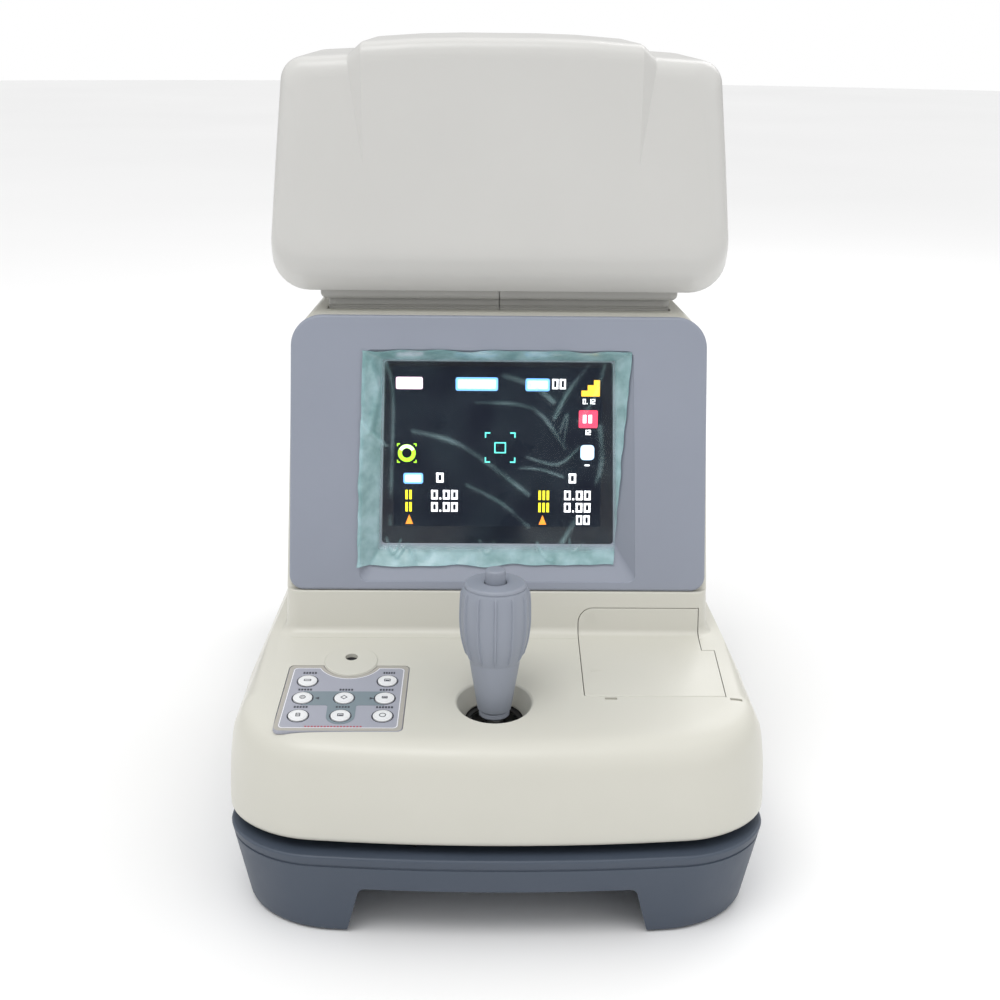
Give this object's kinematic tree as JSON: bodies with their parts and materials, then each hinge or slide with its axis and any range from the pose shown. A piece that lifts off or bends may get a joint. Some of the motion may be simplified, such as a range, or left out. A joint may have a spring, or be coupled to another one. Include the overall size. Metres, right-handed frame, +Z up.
{
  "type": "autorefractor",
  "caption": "Desktop eye-measuring instrument: a measuring head on a tower with a monitor, on a joystick-driven sliding stage, over a base with a chin and forehead rest.",
  "frame": {"origin": "centre of the underside of the feet, at the middle of the instrument's width and length", "axes": "+X to the operator's right, +Y from the operator towards the patient, +Z up"},
  "size_m": [0.28, 0.4786, 0.4376],
  "materials": {
    "cream_shell": "satin moulded plastic",
    "head_shell": "satin moulded plastic",
    "slate_base": "fine textured moulded plastic",
    "bezel_blue": "satin moulded plastic",
    "stick_blue": "satin moulded plastic",
    "neck_grey": "matt moulded plastic",
    "keypad_film": "satin printed film",
    "key_white": "satin",
    "black_plastic": "matt",
    "black_glass": "polished",
    "rubber": "matt",
    "silicone": "soft matt",
    "steel": "ground",
    "brass": "machined",
    "alloy": "cast and machined",
    "circuit_board": "solder mask",
    "paper": "thermal paper"
  },
  "bodies": {
    "base": {"base_housing": "slate_base", "base_plate": "steel", "foot_front_left": "rubber", "foot_front_right": "rubber", "foot_rear_left": "rubber", "foot_rear_right": "rubber", "rack_left": "steel", "rack_right": "steel", "friction_plate": "black_plastic", "power_inlet": "black_plastic", "face_rest_base": "cream_shell", "face_rest_frame": "cream_shell", "forehead_pad": "silicone", "chin_guide": "cream_shell"},
    "power_switch": {"power_switch": "black_plastic"},
    "chin_rest": {"chin_post": "steel", "chin_cup": "cream_shell"},
    "chin_knob": {"chin_knob": "black_plastic"},
    "y_carriage": {"carriage_frame": "alloy"},
    "cross_shaft": {"cross_shaft": "steel", "pinion_left": "brass", "pinion_right": "brass"},
    "stage": {"stage_housing": "cream_shell", "tower_rear_cover": "cream_shell", "stage_plate": "alloy", "monitor_bezel": "bezel_blue", "lcd_panel": "black_glass", "neck_collar_left": "neck_grey", "neck_collar_right": "neck_grey", "keypad_panel": "keypad_film", "lift_motor": "black_plastic", "lift_rod_left": "steel", "lift_rod_right": "steel", "main_board": "circuit_board", "printer_frame": "black_plastic", "stage_lock_screw": "steel"},
    "joystick_cradle": {"joystick_cradle": "steel"},
    "joystick_stem": {"joystick_stem": "steel"},
    "joystick_grip": {"joystick_grip": "stick_blue"},
    "joystick_button": {"joystick_button": "stick_blue"},
    "printer_lid": {"printer_lid": "cream_shell"},
    "paper_roll": {"paper_roll": "paper"},
    "platen_roller": {"platen_roller": "rubber"},
    "lift_screw": {"lift_screw": "brass"},
    "head": {"head_rear_cover": "head_shell", "head_front_cover": "head_shell", "optical_bench": "alloy", "optical_tube": "black_plastic", "measuring_window": "black_glass", "kerato_ring": "black_plastic", "neck_skirt_left": "neck_grey", "neck_skirt_right": "neck_grey"},
    "key_reset": {"key_reset": "key_white"},
    "key_menu": {"key_menu": "key_white"},
    "key_side": {"key_side": "key_white"},
    "key_step": {"key_step": "key_white"},
    "key_auto": {"key_auto": "key_white"},
    "key_print": {"key_print": "key_white"},
    "key_data": {"key_data": "key_white"},
    "key_display": {"key_display": "key_white"}
  },
  "joints": [
    {"name": "stage_in_out", "type": "slide", "parent": "base", "child": "y_carriage", "axis": [0, 1, 0], "range_m": [-0.02, 0.02]},
    {"name": "cross_shaft_roll", "type": "hinge", "parent": "y_carriage", "child": "cross_shaft", "pos_m": [0, -0.014, 0.046], "axis": [1, 0, 0], "range_deg": [-150, 150]},
    {"name": "stage_left_right", "type": "slide", "parent": "y_carriage", "child": "stage", "axis": [1, 0, 0], "range_m": [-0.04, 0.04]},
    {"name": "joystick_pitch", "type": "hinge", "parent": "stage", "child": "joystick_cradle", "pos_m": [-0.002, -0.1846, 0.06], "axis": [1, 0, 0], "range_deg": [-7, 7]},
    {"name": "joystick_roll", "type": "hinge", "parent": "joystick_cradle", "child": "joystick_stem", "pos_m": [-0.002, -0.1846, 0.06], "axis": [0, 1, 0], "range_deg": [-7, 7]},
    {"name": "grip_turn", "type": "hinge", "parent": "joystick_stem", "child": "joystick_grip", "pos_m": [-0.002, -0.1846, 0.06], "axis": [0, 0, 1], "range_deg": [-40, 510]},
    {"name": "fire_button", "type": "slide", "parent": "joystick_grip", "child": "joystick_button", "axis": [0, 0, -1], "range_m": [0, 0.0025], "stiffness_N_per_m": 400},
    {"name": "printer_lid_open", "type": "hinge", "parent": "stage", "child": "printer_lid", "pos_m": [0.082, -0.1782, 0.10877], "axis": [1, 0, 0], "range_deg": [0, 95]},
    {"name": "paper_roll_turn", "type": "hinge", "parent": "stage", "child": "paper_roll", "pos_m": [0.082, -0.148, 0.086], "axis": [1, 0, 0], "continuous": true},
    {"name": "platen_turn", "type": "hinge", "parent": "stage", "child": "platen_roller", "pos_m": [0.082, -0.121, 0.107], "axis": [1, 0, 0], "continuous": true},
    {"name": "head_lift", "type": "slide", "parent": "stage", "child": "head", "axis": [0, 0, 1], "range_m": [-0.002, 0.028]},
    {"name": "lift_screw_turn", "type": "hinge", "parent": "stage", "child": "lift_screw", "pos_m": [0, 0.01, 0.1], "axis": [0, 0, 1], "range_deg": [-75, 1015]},
    {"name": "chin_height", "type": "slide", "parent": "base", "child": "chin_rest", "axis": [0, 0, 1], "range_m": [-0.03, 0.03]},
    {"name": "chin_knob_turn", "type": "hinge", "parent": "base", "child": "chin_knob", "pos_m": [0, 0.2, 0.15], "axis": [1, 0, 0], "range_deg": [-290, 290]},
    {"name": "power_rocker", "type": "hinge", "parent": "base", "child": "power_switch", "pos_m": [-0.137, 0.206, 0.0245], "axis": [0, 1, 0], "range_deg": [0, 12]},
    {"name": "key_reset_press", "type": "slide", "parent": "stage", "child": "key_reset", "axis": [0, 0.1444, -0.9895], "range_m": [0, 0.0008], "stiffness_N_per_m": 200},
    {"name": "key_menu_press", "type": "slide", "parent": "stage", "child": "key_menu", "axis": [0, 0.1444, -0.9895], "range_m": [0, 0.0008], "stiffness_N_per_m": 200},
    {"name": "key_side_press", "type": "slide", "parent": "stage", "child": "key_side", "axis": [0, 0.1444, -0.9895], "range_m": [0, 0.0008], "stiffness_N_per_m": 200},
    {"name": "key_step_press", "type": "slide", "parent": "stage", "child": "key_step", "axis": [0, 0.1444, -0.9895], "range_m": [0, 0.0008], "stiffness_N_per_m": 200},
    {"name": "key_auto_press", "type": "slide", "parent": "stage", "child": "key_auto", "axis": [0, 0.1444, -0.9895], "range_m": [0, 0.0008], "stiffness_N_per_m": 200},
    {"name": "key_print_press", "type": "slide", "parent": "stage", "child": "key_print", "axis": [0, 0.1444, -0.9895], "range_m": [0, 0.0008], "stiffness_N_per_m": 200},
    {"name": "key_data_press", "type": "slide", "parent": "stage", "child": "key_data", "axis": [0, 0.1444, -0.9895], "range_m": [0, 0.0008], "stiffness_N_per_m": 200},
    {"name": "key_display_press", "type": "slide", "parent": "stage", "child": "key_display", "axis": [0, 0.1444, -0.9895], "range_m": [0, 0.0008], "stiffness_N_per_m": 200}
  ],
  "couplings": [
    {"joint": "cross_shaft_roll", "follows": "stage_in_out", "rad_per_m": -125},
    {"joint": "grip_turn", "follows": "head_lift", "rad_per_m": 314.16},
    {"joint": "lift_screw_turn", "follows": "head_lift", "rad_per_m": 628.32},
    {"joint": "platen_turn", "follows": "paper_roll_turn", "ratio": -5},
    {"joint": "chin_knob_turn", "follows": "chin_height", "rad_per_m": 166.67}
  ]
}
